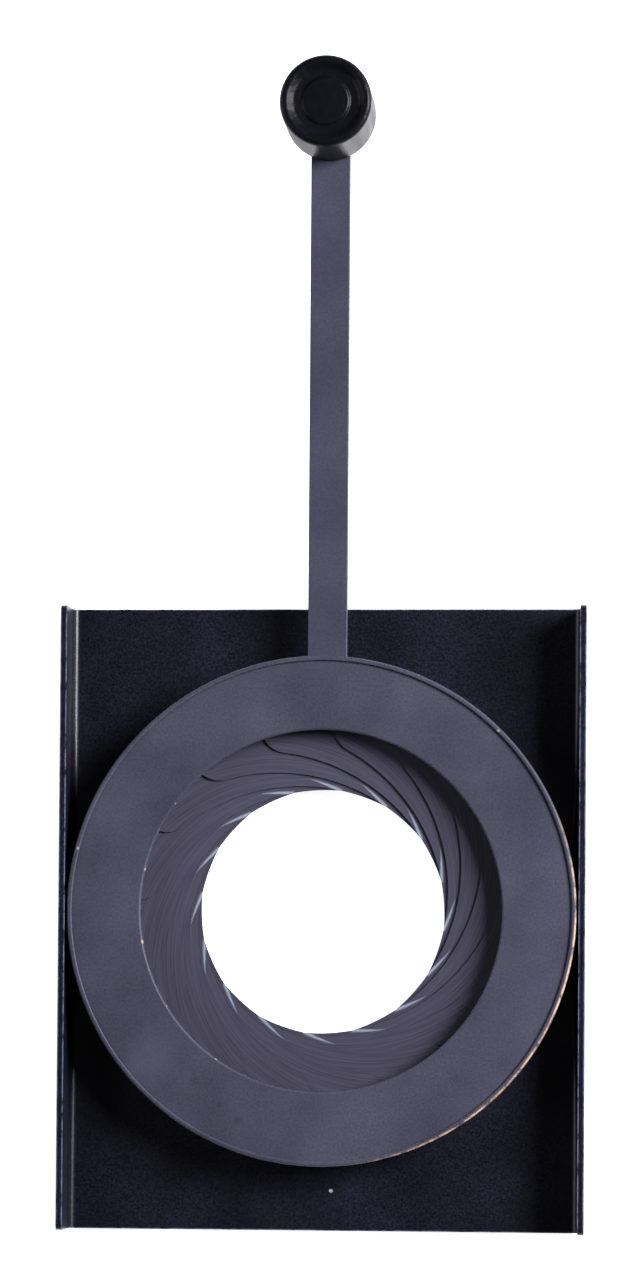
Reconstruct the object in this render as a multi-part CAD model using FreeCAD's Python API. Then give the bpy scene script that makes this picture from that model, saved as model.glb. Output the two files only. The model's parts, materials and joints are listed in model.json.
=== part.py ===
import FreeCAD, Part
import math
import os

# Drop-in iris diaphragm for a stage spotlight: a sheet-steel carrier with two bent
# flanges, a round iris unit on its front, and a flat lever with a knob that turns an
# actuator ring and so opens and closes sixteen thin leaves.
# Millimetres. +Z is the optical axis towards the front, +Y is the way the lever points
# at mid travel. The origin is on the optical axis, on the carrier's flat back face.

# ---- light opening and iris unit
CLEAR_R = 40.0              # clear light opening, at the cover ring's inner edge
RING_WIDTH = 16.4           # clear opening to the outside of the drawn housing
HOUSING_WALL = 1.4          # side wall up to the cover's seat
BASE_THICK = 1.0            # floor of the housing
BASE_STEP = 0.5             # floor opening beyond the clear opening
COVER_THICK = 0.9
COVER_EDGE_R = 0.5          # rounding of the cover's front inner edge
LIP_WALL = 0.7              # thinned wall that is rolled over the cover
LIP_THICK = 0.6             # rolled metal on the cover's front
LIP_REACH = 1.1             # how far it covers the cover's rim
LIP_EDGE_R = 0.57           # rounding of the rolled edge
LIP_LAND = 0.03             # least flat metal left beside that rounding
SPACER_WIDTH = 0.8          # ring that keeps the actuator ring off the leaves

# ---- carrier
SHEET = 1.4
BEND_R = 1.6                # inside radius of the flange bends
FLANGE_HEIGHT = 12.7        # back face to the flange tips
FLANGE_CORNER_R = 1.5
SIDE_GAP = 0.45             # housing to each flange
TOP_MARGIN = 11.3           # plate beyond the housing, on the lever's side
BOTTOM_MARGIN = 14.5        # plate beyond the housing, on the other side
BORE_STEP = 1.0             # carrier opening beyond the clear opening

# ---- leaves
LEAF_COUNT = 16
LEAF_WIDTH = 12.0
LEAF_THICK = 0.12
LEAF_RISE = 4.5             # each leaf climbs this far from its pivot to its drive pin
PIN_R = 1.0
PIN_INSET = 0.8             # least metal line between the clear opening and a pin
DRIVE_PHASE = 11.0          # angle of the first drive pin at mid travel, degrees

# ---- actuator ring, lever and knob
ROTOR_THICK = 1.0
ROTOR_STEP = 1.0            # ring's inner edge beyond the clear opening
LEVER_WIDTH = 8.7
LEVER_THICK = 2.0
LEVER_OFFSET = 1.0          # lever centreline to the right of the axis
LEVER_REACH = 176.6         # optical axis to the knob's axis
LEVER_ROOT_MARGIN = 3.5     # lever's inner end to its first rivet
KNOB_R = 10.1
KNOB_HEIGHT = 16.8
KNOB_EDGE_R = 1.2
KNOB_RIM_WIDTH = 1.6        # flat rim and its rounding, round the hollow in the front
KNOB_SLOPE = 1.3            # slope from the rim down into the groove
KNOB_DISH = 1.1             # depth of the groove
KNOB_DISC_R = 5.0           # raised disc in the middle
KNOB_DISC_DROP = 0.5        # disc below the rim
KNOB_BORE_DEPTH = 9.0

# ---- fastenings
RIVET_R = 1.4
RIVET_HEAD_R = 2.4
RIVET_HEAD_DEPTH = 0.7
LEVER_RIVET_INSET = 3.4     # outer lever rivet from the actuator ring's outer edge
LEVER_RIVET_PITCH = 5.0
HOUSING_RIVET_COUNT = 4
HOUSING_RIVET_INSET = 3.4   # rivet centres from the housing's inside wall
SCREW_R = 2.0
SCREW_HEAD_R = 3.8
SCREW_HEAD_H = 2.2
SCREW_END_GAP = 1.0         # screw's tip to the end of the knob's bore

# ---- clearances
RUN_GAP = 0.1               # turning parts: radial
PIN_GAP = 0.05              # pivot pins in the housing floor: radial
LEAF_SIDE_GAP = 0.2         # leaves to the spacer ring
LEAF_END_GAP = 0.2          # leaves to the floor and to the actuator ring
SEAT_GAP = 0.05             # actuator ring above the spacer ring
LEVER_GAP = 0.2             # lever to the cover ring and to the slot's long edges
SLOT_END_GAP = 0.6          # lever to the slot's ends
FLANGE_GAP = 0.85           # lever to a flange corner at the end of its travel
BEND_GAP = 0.1              # housing's bottom edge inside the flange bends
PIN_STAND = 0.3             # drive pins above the actuator ring
PIN_FLOOR_GAP = 0.1         # pivot pins above the carrier
SCREW_GAP = 0.1             # knob screw in the lever

# ---- working values
OVERRUN = 1.0               # how far a cutting shape runs past the face it cuts
TOLERANCE = 0.01            # for finding edges by their place
TRACK_STEPS = 72            # points on a drive pin's path

# ---- leaf geometry: an arc about the axis when the iris is wide open
HOUSING_R = CLEAR_R + RING_WIDTH
HOUSING_INNER_R = HOUSING_R - HOUSING_WALL
ROTOR_R = HOUSING_INNER_R - RUN_GAP
LEVER_RIVET_2_Y = ROTOR_R - LEVER_RIVET_INSET
LEVER_RIVET_1_Y = LEVER_RIVET_2_Y - LEVER_RIVET_PITCH
LEVER_ROOT_Y = LEVER_RIVET_1_Y - LEVER_ROOT_MARGIN
SPACER_R = HOUSING_INNER_R - SPACER_WIDTH
LEAF_PITCH = 360.0 / LEAF_COUNT
PIVOT_R = SPACER_R - LEAF_SIDE_GAP - LEAF_WIDTH / 2
PIN_NEAREST_R = CLEAR_R + PIN_R + PIN_INSET
LEAF_SPAN = PIVOT_R + PIN_NEAREST_R
LEAF_ARC = 2 * math.degrees(math.asin(LEAF_SPAN / (2 * PIVOT_R)))
CHORD_ANGLE = 90 + LEAF_ARC / 2
CAP_ANGLE = math.degrees(math.asin(LEAF_WIDTH / 2 / PIVOT_R))

# ---- heights, from the back face: a leaf climbs like a stair, so each one lies on the next
RISE_PER_DEGREE = LEAF_RISE / LEAF_ARC
LEAF_DROP = RISE_PER_DEGREE * CAP_ANGLE + LEAF_THICK / 2
BASE_TOP = SHEET + BASE_THICK
PIVOT_Z = BASE_TOP + LEAF_END_GAP + LEAF_DROP
ROTOR_Z = PIVOT_Z + LEAF_RISE + LEAF_DROP + LEAF_END_GAP
ROTOR_TOP = ROTOR_Z + ROTOR_THICK
LEVER_TOP = ROTOR_TOP + LEVER_THICK
KNOB_TOP = LEVER_TOP + KNOB_HEIGHT
COVER_Z = LEVER_TOP + LEVER_GAP
COVER_TOP = COVER_Z + COVER_THICK
HOUSING_TOP = COVER_TOP + LIP_THICK

# ---- carrier outline
FLANGE_X = HOUSING_R + SIDE_GAP
CARRIER_X = FLANGE_X + SHEET
CARRIER_TOP_Y = HOUSING_R + TOP_MARGIN
CARRIER_BOTTOM_Y = -HOUSING_R - BOTTOM_MARGIN

# ---- lever travel, each way from mid travel: its right edge stops short of a flange corner
CORNER_REACH = math.hypot(FLANGE_X, CARRIER_TOP_Y)
LEVER_RIGHT = LEVER_OFFSET + LEVER_WIDTH / 2 + FLANGE_GAP
SWING = math.degrees(math.atan2(FLANGE_X, CARRIER_TOP_Y) - math.asin(LEVER_RIGHT / CORNER_REACH))
LEAF_RATIO = 0.5            # a leaf turns half as far as the lever
LEAF_REST = LEAF_RATIO * SWING

Z_AXIS = FreeCAD.Vector(0, 0, 1)
ORIGIN = FreeCAD.Vector(0, 0, 0)


def polar(radius, degrees):
    """Point at a radius and an angle about the optical axis."""
    angle = math.radians(degrees)
    return FreeCAD.Vector(radius * math.cos(angle), radius * math.sin(angle), 0)


def turned(shape, degrees, centre=ORIGIN):
    """Copy of a shape turned about a line parallel to Z."""
    copy = shape.copy()
    copy.rotate(centre, Z_AXIS, degrees)
    return copy


def disc(radius, z_low, z_high, x=0.0, y=0.0):
    return Part.makeCylinder(radius, z_high - z_low, FreeCAD.Vector(x, y, z_low))


def ring(inner, outer, z_low, z_high):
    return disc(outer, z_low, z_high).cut(disc(inner, z_low - OVERRUN, z_high + OVERRUN))


def block(x_low, x_high, y_low, y_high, z_low, z_high):
    corner = FreeCAD.Vector(x_low, y_low, z_low)
    return Part.makeBox(x_high - x_low, y_high - y_low, z_high - z_low, corner)


def revolved(edges):
    """Solid of a profile in the XZ plane turned about the optical axis."""
    face = Part.Face(Part.Wire(edges))
    return face.revolve(ORIGIN, Z_AXIS, 360)


def polyline(points):
    """Edges through (radius, height) points, one after the other."""
    corners = [FreeCAD.Vector(r, 0, z) for r, z in points]
    return [Part.LineSegment(a, b).toShape() for a, b in zip(corners, corners[1:])]


def quarter(centre_r, centre_z, radius, start, end):
    """Arc in the XZ plane from one angle to another, measured from +X towards +Z."""
    points = []
    for angle in (start, (start + end) / 2, end):
        a = math.radians(angle)
        points.append(FreeCAD.Vector(centre_r + radius * math.cos(a), 0, centre_z + radius * math.sin(a)))
    return Part.Arc(*points).toShape()


def rivet(z_tail, z_head, x, y):
    """Countersunk rivet along Z, its flush head at z_head."""
    down = 1 if z_head > z_tail else -1
    shank = disc(RIVET_R, min(z_tail, z_head), max(z_tail, z_head), x, y)
    base = FreeCAD.Vector(x, y, z_head - down * RIVET_HEAD_DEPTH)
    axis = FreeCAD.Vector(0, 0, down)
    head = Part.makeCone(RIVET_R, RIVET_HEAD_R, RIVET_HEAD_DEPTH, base, axis)
    return shank.fuse(head).removeSplitter()


def housing_rivets():
    """The rivets that hold the housing to the carrier, heads flush with the back face."""
    radius = HOUSING_INNER_R - HOUSING_RIVET_INSET
    step = 360.0 / HOUSING_RIVET_COUNT
    first = pivot_angle(0) + LEAF_PITCH / 2
    rivets = []
    for i in range(HOUSING_RIVET_COUNT):
        place = polar(radius, first + i * step)
        rivets.append(rivet(BASE_TOP, 0.0, place.x, place.y))
    return rivets


def lever_rivets():
    """The rivets that hold the lever to the actuator ring, heads flush with the lever."""
    return [rivet(ROTOR_Z, LEVER_TOP, LEVER_OFFSET, y) for y in (LEVER_RIVET_1_Y, LEVER_RIVET_2_Y)]


def carrier_plate():
    """Plate with a flange bent forward along each side."""
    y_low = CARRIER_BOTTOM_Y
    length = CARRIER_TOP_Y - CARRIER_BOTTOM_Y
    outer = block(-CARRIER_X, CARRIER_X, y_low, y_low + length, 0, FLANGE_HEIGHT)
    inner = block(-FLANGE_X, FLANGE_X, y_low - OVERRUN, y_low + length + OVERRUN,
                  SHEET, FLANGE_HEIGHT + OVERRUN)
    inner = rounded_along_y(inner, SHEET, BEND_R)
    outer = rounded_along_y(outer, 0.0, BEND_R + SHEET)
    channel = outer.cut(inner)
    tips = []
    for edge in channel.Edges:
        middle = edge.BoundBox.Center
        along_x = edge.BoundBox.XLength > SHEET / 2 and edge.BoundBox.YLength < TOLERANCE
        at_tip = abs(middle.z - FLANGE_HEIGHT) < TOLERANCE and edge.BoundBox.XLength < 2 * SHEET
        if along_x and at_tip:
            tips.append(edge)
    channel = channel.makeFillet(FLANGE_CORNER_R, tips)
    channel = channel.cut(disc(CLEAR_R + BORE_STEP, -OVERRUN, SHEET + OVERRUN))
    for fastening in housing_rivets():
        channel = channel.cut(fastening)
    return channel


def rounded_along_y(shape, z, radius):
    """Fillet the two edges along Y at a height."""
    edges = []
    for edge in shape.Edges:
        box = edge.BoundBox
        level = abs(box.Center.z - z) < TOLERANCE and box.ZLength < TOLERANCE
        if level and box.YLength > FLANGE_HEIGHT:
            edges.append(edge)
    return shape.makeFillet(radius, edges)


def lever_bar(x_low, x_high, y_low, z_low, z_high):
    """Flat bar towards +Y with a round end about the knob's axis."""
    half = (x_high - x_low) / 2
    bar = block(x_low, x_high, y_low, LEVER_REACH, z_low, z_high)
    end = disc(half, z_low, z_high, (x_low + x_high) / 2, LEVER_REACH)
    return bar.fuse(end).removeSplitter()


def lever_slot():
    """Space in the housing wall that the lever sweeps through."""
    half_angle = math.degrees(math.asin((LEVER_WIDTH / 2 + SLOT_END_GAP) / HOUSING_INNER_R))
    middle = math.degrees(math.acos(LEVER_OFFSET / HOUSING_R))
    sweep = 2 * (SWING + half_angle)
    low = ROTOR_TOP - LEVER_GAP
    wedge = Part.makeCylinder(HOUSING_R + OVERRUN, COVER_Z - low, FreeCAD.Vector(0, 0, low), Z_AXIS, sweep)
    wedge = turned(wedge, middle - sweep / 2)
    return wedge.cut(disc(SPACER_R, low - OVERRUN, COVER_Z + OVERRUN))


def housing_cup():
    """Drawn cup whose rim is rolled over the cover ring."""
    opening = CLEAR_R + BASE_STEP
    corner = BEND_R - BEND_GAP
    lip = min(LIP_EDGE_R, LIP_THICK - LIP_LAND, LIP_REACH - LIP_LAND)
    seat_r = HOUSING_R - LIP_WALL
    edges = polyline([(opening, SHEET), (HOUSING_R - corner, SHEET)])
    edges.append(quarter(HOUSING_R - corner, SHEET + corner, corner, -90, 0))
    edges += polyline([(HOUSING_R, SHEET + corner), (HOUSING_R, HOUSING_TOP - lip)])
    edges.append(quarter(HOUSING_R - lip, HOUSING_TOP - lip, lip, 0, 90))
    edges += polyline([
        (HOUSING_R - lip, HOUSING_TOP),
        (HOUSING_R - LIP_REACH, HOUSING_TOP),
        (HOUSING_R - LIP_REACH, COVER_TOP),
        (seat_r, COVER_TOP),
        (seat_r, COVER_Z),
        (HOUSING_INNER_R, COVER_Z),
        (HOUSING_INNER_R, BASE_TOP),
        (opening, BASE_TOP),
        (opening, SHEET),
    ])
    cup = revolved(edges).cut(lever_slot())
    for i in range(LEAF_COUNT):
        place = polar(PIVOT_R, pivot_angle(i))
        cup = cup.cut(disc(PIN_R + PIN_GAP, SHEET - OVERRUN, BASE_TOP + OVERRUN, place.x, place.y))
    for fastening in housing_rivets():
        cup = cup.cut(fastening)
    return cup


def spacer_ring():
    return ring(SPACER_R, HOUSING_INNER_R, BASE_TOP, ROTOR_Z - SEAT_GAP)


def cover_ring():
    """Flat annular cover with a softened front inner edge."""
    cover = ring(CLEAR_R, HOUSING_R - LIP_WALL, COVER_Z, COVER_TOP)
    edges = []
    for edge in cover.Edges:
        box = edge.BoundBox
        at_front = abs(box.ZMin - COVER_TOP) < TOLERANCE
        if at_front and abs(box.XLength - 2 * CLEAR_R) < TOLERANCE:
            edges.append(edge)
    return cover.makeFillet(COVER_EDGE_R, edges)


def drive_point(turn):
    """Drive pin of the leaf pivoted at angle 0, turned in from wide open, from above."""
    start = FreeCAD.Vector(PIVOT_R, 0, 0)
    return start + polar(LEAF_SPAN, CHORD_ANGLE + turn)


def pin_track():
    """Drive pin's path on the actuator ring: its (radius, angle) over the lever's travel."""
    track = []
    for i in range(TRACK_STEPS + 1):
        lever = 2 * SWING * i / TRACK_STEPS
        point = drive_point(LEAF_RATIO * lever)
        angle = math.degrees(math.atan2(point.y, point.x)) % 360
        track.append((math.hypot(point.x, point.y), angle - lever))
    return track


def actuator_ring():
    """Ring with one slot per leaf, open to the inside, that pushes the drive pins."""
    track = pin_track()
    angles = [angle for radius, angle in track]
    middle = (min(angles) + max(angles)) / 2
    sides = [radius * math.sin(math.radians(abs(angle - middle))) for radius, angle in track]
    half = PIN_R + RUN_GAP + max(sides)
    far = max(radius for radius, angle in track) + PIN_R + RUN_GAP - half
    slot = block(0, far, -half, half, ROTOR_Z - OVERRUN, ROTOR_TOP + OVERRUN)
    slot = slot.fuse(disc(half, ROTOR_Z - OVERRUN, ROTOR_TOP + OVERRUN, far, 0))
    rotor = ring(CLEAR_R + ROTOR_STEP, ROTOR_R, ROTOR_Z, ROTOR_TOP)
    for i in range(LEAF_COUNT):
        rotor = rotor.cut(turned(slot, middle + SWING + pivot_angle(i)))
    for fastening in lever_rivets():
        rotor = rotor.cut(fastening)
    return rotor


def lever_arm():
    half = LEVER_WIDTH / 2
    arm = lever_bar(LEVER_OFFSET - half, LEVER_OFFSET + half, LEVER_ROOT_Y, ROTOR_TOP, LEVER_TOP)
    hole = disc(SCREW_R + SCREW_GAP, ROTOR_TOP - OVERRUN, LEVER_TOP + OVERRUN, LEVER_OFFSET, LEVER_REACH)
    arm = arm.cut(hole)
    for fastening in lever_rivets():
        arm = arm.cut(fastening)
    return arm


def knob():
    """Turned knob with rounded edges and a stepped hollow in its front."""
    edge = KNOB_EDGE_R
    rim = KNOB_R - KNOB_RIM_WIDTH
    edges = polyline([(0, LEVER_TOP), (KNOB_R - edge, LEVER_TOP)])
    edges.append(quarter(KNOB_R - edge, LEVER_TOP + edge, edge, -90, 0))
    edges += polyline([(KNOB_R, LEVER_TOP + edge), (KNOB_R, KNOB_TOP - edge)])
    edges.append(quarter(KNOB_R - edge, KNOB_TOP - edge, edge, 0, 90))
    edges += polyline([
        (KNOB_R - edge, KNOB_TOP),
        (rim, KNOB_TOP),
        (rim - KNOB_SLOPE, KNOB_TOP - KNOB_DISH),
        (KNOB_DISC_R, KNOB_TOP - KNOB_DISH),
        (KNOB_DISC_R, KNOB_TOP - KNOB_DISC_DROP),
        (0, KNOB_TOP - KNOB_DISC_DROP),
        (0, LEVER_TOP),
    ])
    body = revolved(edges)
    body.translate(FreeCAD.Vector(LEVER_OFFSET, LEVER_REACH, 0))
    bore = disc(SCREW_R, LEVER_TOP - OVERRUN, LEVER_TOP + KNOB_BORE_DEPTH, LEVER_OFFSET, LEVER_REACH)
    return body.cut(bore)


def knob_screw():
    """Pan-head screw from behind, through the lever into the knob."""
    tip = LEVER_TOP + KNOB_BORE_DEPTH - SCREW_END_GAP
    head_low = ROTOR_TOP - SCREW_HEAD_H
    head = disc(SCREW_HEAD_R, head_low, ROTOR_TOP, LEVER_OFFSET, LEVER_REACH)
    rim = [e for e in head.Edges if abs(e.BoundBox.ZMax - head_low) < TOLERANCE]
    head = head.makeFillet(SCREW_HEAD_H / 2, rim)
    shank = disc(SCREW_R, ROTOR_TOP - SCREW_HEAD_H / 2, tip, LEVER_OFFSET, LEVER_REACH)
    return head.fuse(shank).removeSplitter()


def pivot_angle(i):
    """Angle of leaf i's pivot about the optical axis."""
    drive = drive_point(LEAF_REST)
    return DRIVE_PHASE - math.degrees(math.atan2(drive.y, drive.x)) + i * LEAF_PITCH


def leaf_slab(below, above):
    """Space between two climbing surfaces, from below to above the leaf's middle surface."""
    margin = 2 * CAP_ANGLE
    turn = LEAF_ARC + 2 * margin
    rails = []
    for radius in (PIVOT_R - LEAF_WIDTH, PIVOT_R + LEAF_WIDTH):
        rails.append(Part.makeHelix(360 * RISE_PER_DEGREE, turn * RISE_PER_DEGREE, radius).Edges[0])
    surface = Part.makeRuledSurface(rails[0], rails[1])
    surface.rotate(ORIGIN, Z_AXIS, -margin)
    surface.translate(FreeCAD.Vector(0, 0, PIVOT_Z - margin * RISE_PER_DEGREE + below))
    return surface.extrude(FreeCAD.Vector(0, 0, above - below))


def leaf_blank():
    """Crescent of the leaf pivoted at angle 0, wide open, as an upright prism."""
    half = LEAF_WIDTH / 2
    outer = PIVOT_R + half
    inner = PIVOT_R - half
    far_cap = polar(PIVOT_R, LEAF_ARC) + polar(half, LEAF_ARC + 90)
    near_cap = polar(PIVOT_R, 0) + polar(half, -90)
    arcs = [
        Part.Arc(polar(outer, 0), polar(outer, LEAF_ARC / 2), polar(outer, LEAF_ARC)),
        Part.Arc(polar(outer, LEAF_ARC), far_cap, polar(inner, LEAF_ARC)),
        Part.Arc(polar(inner, LEAF_ARC), polar(inner, LEAF_ARC / 2), polar(inner, 0)),
        Part.Arc(polar(inner, 0), near_cap, polar(outer, 0)),
    ]
    face = Part.Face(Part.Wire([arc.toShape() for arc in arcs]))
    return face.extrude(FreeCAD.Vector(0, 0, COVER_Z))


def leaf_parts():
    """The leaf and its two pins, pivoted at angle 0 and turned in to mid travel."""
    end = drive_point(0)
    low = SHEET + PIN_FLOOR_GAP
    high = ROTOR_TOP + PIN_STAND
    half = LEAF_THICK / 2
    pivot_hole = disc(PIN_R, 0, COVER_Z, PIVOT_R, 0)
    drive_hole = disc(PIN_R, 0, COVER_Z, end.x, end.y)
    leaf = leaf_blank().common(leaf_slab(-half, half)).cut(pivot_hole).cut(drive_hole)
    pivot_pin = disc(PIN_R, low, COVER_Z, PIVOT_R, 0).common(leaf_slab(-COVER_Z, half))
    drive_pin = disc(PIN_R, 0, high, end.x, end.y).common(leaf_slab(-half, COVER_Z))
    pivot = FreeCAD.Vector(PIVOT_R, 0, 0)
    return [turned(shape, LEAF_REST, pivot) for shape in (leaf, pivot_pin, drive_pin)]


def save(name, shape):
    shape.exportStep("parts/" + name + ".step")
    print(name, "solids", len(shape.Solids), "valid", shape.isValid(), "volume", round(shape.Volume, 3))


def main():
    os.makedirs("parts", exist_ok=True)
    save("carrier_plate", carrier_plate())
    save("housing_cup", housing_cup())
    save("spacer_ring", spacer_ring())
    save("cover_ring", cover_ring())
    for number, shape in enumerate(housing_rivets(), 1):
        save("housing_rivet_%d" % number, shape)
    save("actuator_ring", actuator_ring())
    save("lever_arm", lever_arm())
    for number, shape in enumerate(lever_rivets(), 1):
        save("lever_rivet_%d" % number, shape)
    save("knob", knob())
    save("knob_screw", knob_screw())
    leaf, pivot_pin, drive_pin = leaf_parts()
    for i in range(LEAF_COUNT):
        angle = pivot_angle(i)
        save("leaf_%02d" % (i + 1), turned(leaf, angle))
        pins = Part.makeCompound([turned(pivot_pin, angle), turned(drive_pin, angle)])
        save("leaf_pins_%02d" % (i + 1), pins)
    print("lever travel each way", round(SWING, 3), "degrees, a leaf turns", round(LEAF_REST, 3))
    print("pivot radius", round(PIVOT_R, 3), "first pivot at", round(pivot_angle(0), 3), "degrees")
    print("lever top", round(LEVER_TOP, 3), "housing front", round(HOUSING_TOP, 3), "knob", round(KNOB_TOP, 3))


main()
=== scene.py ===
# %% [markdown]
# # A drop-in iris diaphragm for a stage spotlight
#
# The real thing is a tray of black painted sheet steel that drops into the gate of a
# spotlight. A round housing sits on it, with sixteen thin steel leaves inside. A flat lever
# with a knob turns a ring in the housing, and the ring swings all the leaves at once.
#
# The frame holds the engineering: where every piece is, how big it is and what turns about
# what. This file gives those pieces the surfaces that an eye notices. So the first step
# loads the frame, and every place and size below is read from it where it can be.

# %% Load the frame
import json
import math
import bmesh
import bpy
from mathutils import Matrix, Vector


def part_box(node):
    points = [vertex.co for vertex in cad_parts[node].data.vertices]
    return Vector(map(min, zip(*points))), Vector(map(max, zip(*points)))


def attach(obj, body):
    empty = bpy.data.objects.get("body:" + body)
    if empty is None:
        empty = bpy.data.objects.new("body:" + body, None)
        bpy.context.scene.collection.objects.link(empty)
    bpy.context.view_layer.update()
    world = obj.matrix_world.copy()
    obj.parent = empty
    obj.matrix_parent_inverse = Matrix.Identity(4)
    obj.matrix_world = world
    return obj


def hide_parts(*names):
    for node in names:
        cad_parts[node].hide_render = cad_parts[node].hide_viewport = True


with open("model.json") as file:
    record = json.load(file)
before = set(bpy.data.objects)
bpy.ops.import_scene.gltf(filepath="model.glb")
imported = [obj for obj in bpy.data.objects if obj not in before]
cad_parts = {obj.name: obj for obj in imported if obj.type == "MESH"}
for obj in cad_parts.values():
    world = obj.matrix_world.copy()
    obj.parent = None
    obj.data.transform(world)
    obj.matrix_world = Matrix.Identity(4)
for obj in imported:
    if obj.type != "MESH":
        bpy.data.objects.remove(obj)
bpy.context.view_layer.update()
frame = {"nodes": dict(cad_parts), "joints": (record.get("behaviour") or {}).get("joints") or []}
nodes = frame["nodes"]

# %% [markdown]
# ## Millimetres and the sizes the frame gives
#
# Blender counts in metres, and a small metal object is easier to think about in millimetres.
# MM turns one into the other. Heights and outside radii come from the boxes of the frame's
# nodes. A box can't tell how big a hole is, so the few inside sizes are written here once.

# %% Sizes
MM = 0.001
CLEAR_R = 40.0 * MM          # clear opening, the cover's inner edge
FLOOR_R = 40.5 * MM          # opening in the housing's floor
CARRIER_BORE_R = 41.0 * MM   # opening in the carrier
SHEET = 1.4 * MM             # carrier's sheet steel
BEND_R = 3.0 * MM            # outside of its bends
HAIR = 0.01 * MM             # two places this close are the same place
cover_low, cover_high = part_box("cover_ring")
housing_low, housing_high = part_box("housing_cup")
carrier_low, carrier_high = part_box("carrier_plate")
lever_low, lever_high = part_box("lever_arm")
knob_low, knob_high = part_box("knob")
KNOB_CENTRE = ((knob_low.x + knob_high.x) / 2, (knob_low.y + knob_high.y) / 2)
print("housing radius", round(housing_high.x / MM, 2), "mm, knob at",
      [round(c / MM, 1) for c in KNOB_CENTRE])

# %% [markdown]
# ## Camera
#
# A flat object shows best from almost straight above, through a long lens. The camera
# stands about a metre up and leans a little. A small vertical shift of its sensor keeps
# the whole lever in the frame, so the camera need not tilt more.

# %% Camera
camera = bpy.data.objects.new("camera", bpy.data.cameras.new("camera"))
bpy.context.scene.collection.objects.link(camera)
camera.location = (0.0764, -0.0284, 0.9791)
camera.rotation_euler = [math.radians(a) for a in (1.851, 4.545, 0.413)]
camera.data.lens = 123.75
camera.data.shift_y = 0.203
bpy.context.scene.camera = camera
bpy.context.scene.view_settings.view_transform = "Standard"
print("camera", round(camera.location.z, 3), "m up with a", camera.data.lens, "mm lens")

# %% [markdown]
# ## Colours and nodes
#
# Paint and metal colours are picked as hex values, the way they are picked on a screen. The
# renderer works in linear light, so one function converts them. Another small function adds
# a shader node: it takes the node's kind, what goes into its sockets, and its settings.

# %% Colour and node helpers
def linear(hex_colour):
    """An sRGB hex colour as the linear RGBA that shaders use."""
    channels = [int(hex_colour[i:i + 2], 16) / 255 for i in (0, 2, 4)]
    return [c / 12.92 if c <= 0.04045 else ((c + 0.055) / 1.055) ** 2.4 for c in channels] + [1.0]


def add(tree, kind, sockets=None, **settings):
    """One new node. A socket's value is a constant, or another node's output to link."""
    made = tree.nodes.new("ShaderNode" + kind)
    for name, value in settings.items():
        setattr(made, name, value)
    for socket, value in (sockets or {}).items():
        if isinstance(value, bpy.types.NodeSocket):
            tree.links.new(value, made.inputs[socket])
        else:
            made.inputs[socket].default_value = value
    return made


def new_finish(name):
    """A material, its node tree and its surface shader."""
    finish = bpy.data.materials.new(name)
    finish.use_nodes = True
    return finish, finish.node_tree, finish.node_tree.nodes["Principled BSDF"]


print("middle grey 808080 is", round(linear("808080")[0], 3), "in linear light")

# %% [markdown]
# ## Floor and light
#
# The part lies on a light table: white from edge to edge, also through the iris opening,
# with no shadow. A floor that glows a little does that. Softboxes are the usual light for
# painted metal, because a bare lamp would burn a hot spot into it. The large one stands to
# the upper right, and a weaker one on the left opens up the shadows of the housing.

# %% Light table
finish, tree, shader = new_finish("light_table")
shader.inputs["Base Color"].default_value = linear("f2f2f4")
shader.inputs["Roughness"].default_value = 0.9
shader.inputs["Emission Color"].default_value = (1.0, 1.0, 1.0, 1.0)
shader.inputs["Emission Strength"].default_value = 0.9
bpy.ops.object.select_all(action="DESELECT")
bpy.ops.mesh.primitive_plane_add(size=60.0, location=(0, 0, -0.5 * MM))
table = bpy.context.object
table.name = "light_table"
table.data.materials.append(finish)
print("light table", round(table.location.z / MM, 2), "mm below the carrier's back")

# %% Softboxes and the room
def softbox(name, off_vertical, bearing, distance, size, power):
    """A square area light that looks at the part from an angle and a compass bearing."""
    off, turn = math.radians(off_vertical), math.radians(bearing)
    lamp = bpy.data.objects.new(name, bpy.data.lights.new(name, "AREA"))
    bpy.context.scene.collection.objects.link(lamp)
    lamp.location = [distance * c for c in (
        math.sin(off) * math.cos(turn), math.sin(off) * math.sin(turn), math.cos(off))]
    lamp.rotation_euler = (0, off, turn)
    lamp.data.size = size
    lamp.data.energy = power
    lamp.data.color = linear("f4f3fb")[:3]
    print(name, [round(c, 2) for c in lamp.location], power, "W")


softbox("key_softbox", 54, 21, 1.3, 0.6, 39)
softbox("fill_softbox", 56, 172, 1.4, 0.8, 6)
room = bpy.data.worlds.new("room")
room.use_nodes = True
room.node_tree.nodes["Background"].inputs["Color"].default_value = linear("e9eaf0")
room.node_tree.nodes["Background"].inputs["Strength"].default_value = 0.05
bpy.context.scene.world = room

# %% [markdown]
# ## Painted steel
#
# The carrier, the housing and the lever are sheet steel with a thin stoved paint. Such paint
# is never one flat colour. It has slow clouds where it lies thicker, the fine grain of its
# pigment, an orange-peel surface, and a lighter band along its edges. That band is partly
# paint rubbed off where edges slide in and out, and partly a painted highlight where the
# edges would catch the light.
# The three coats differ only in colour and gloss, so one function makes all of them.

# %% The paint function
PEEL = 0.9 * MM              # orange-peel spacing
GRAIN = 0.5 * MM             # pigment grain, coarser than real so that it shows
CLOUD = 16 * MM              # spacing of thicker and thinner paint
EDGE_WEAR_AND_HIGHLIGHT_PATCH = 3 * MM                 # length of the patches of the edge band, of rubbed paint and painted highlight


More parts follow.
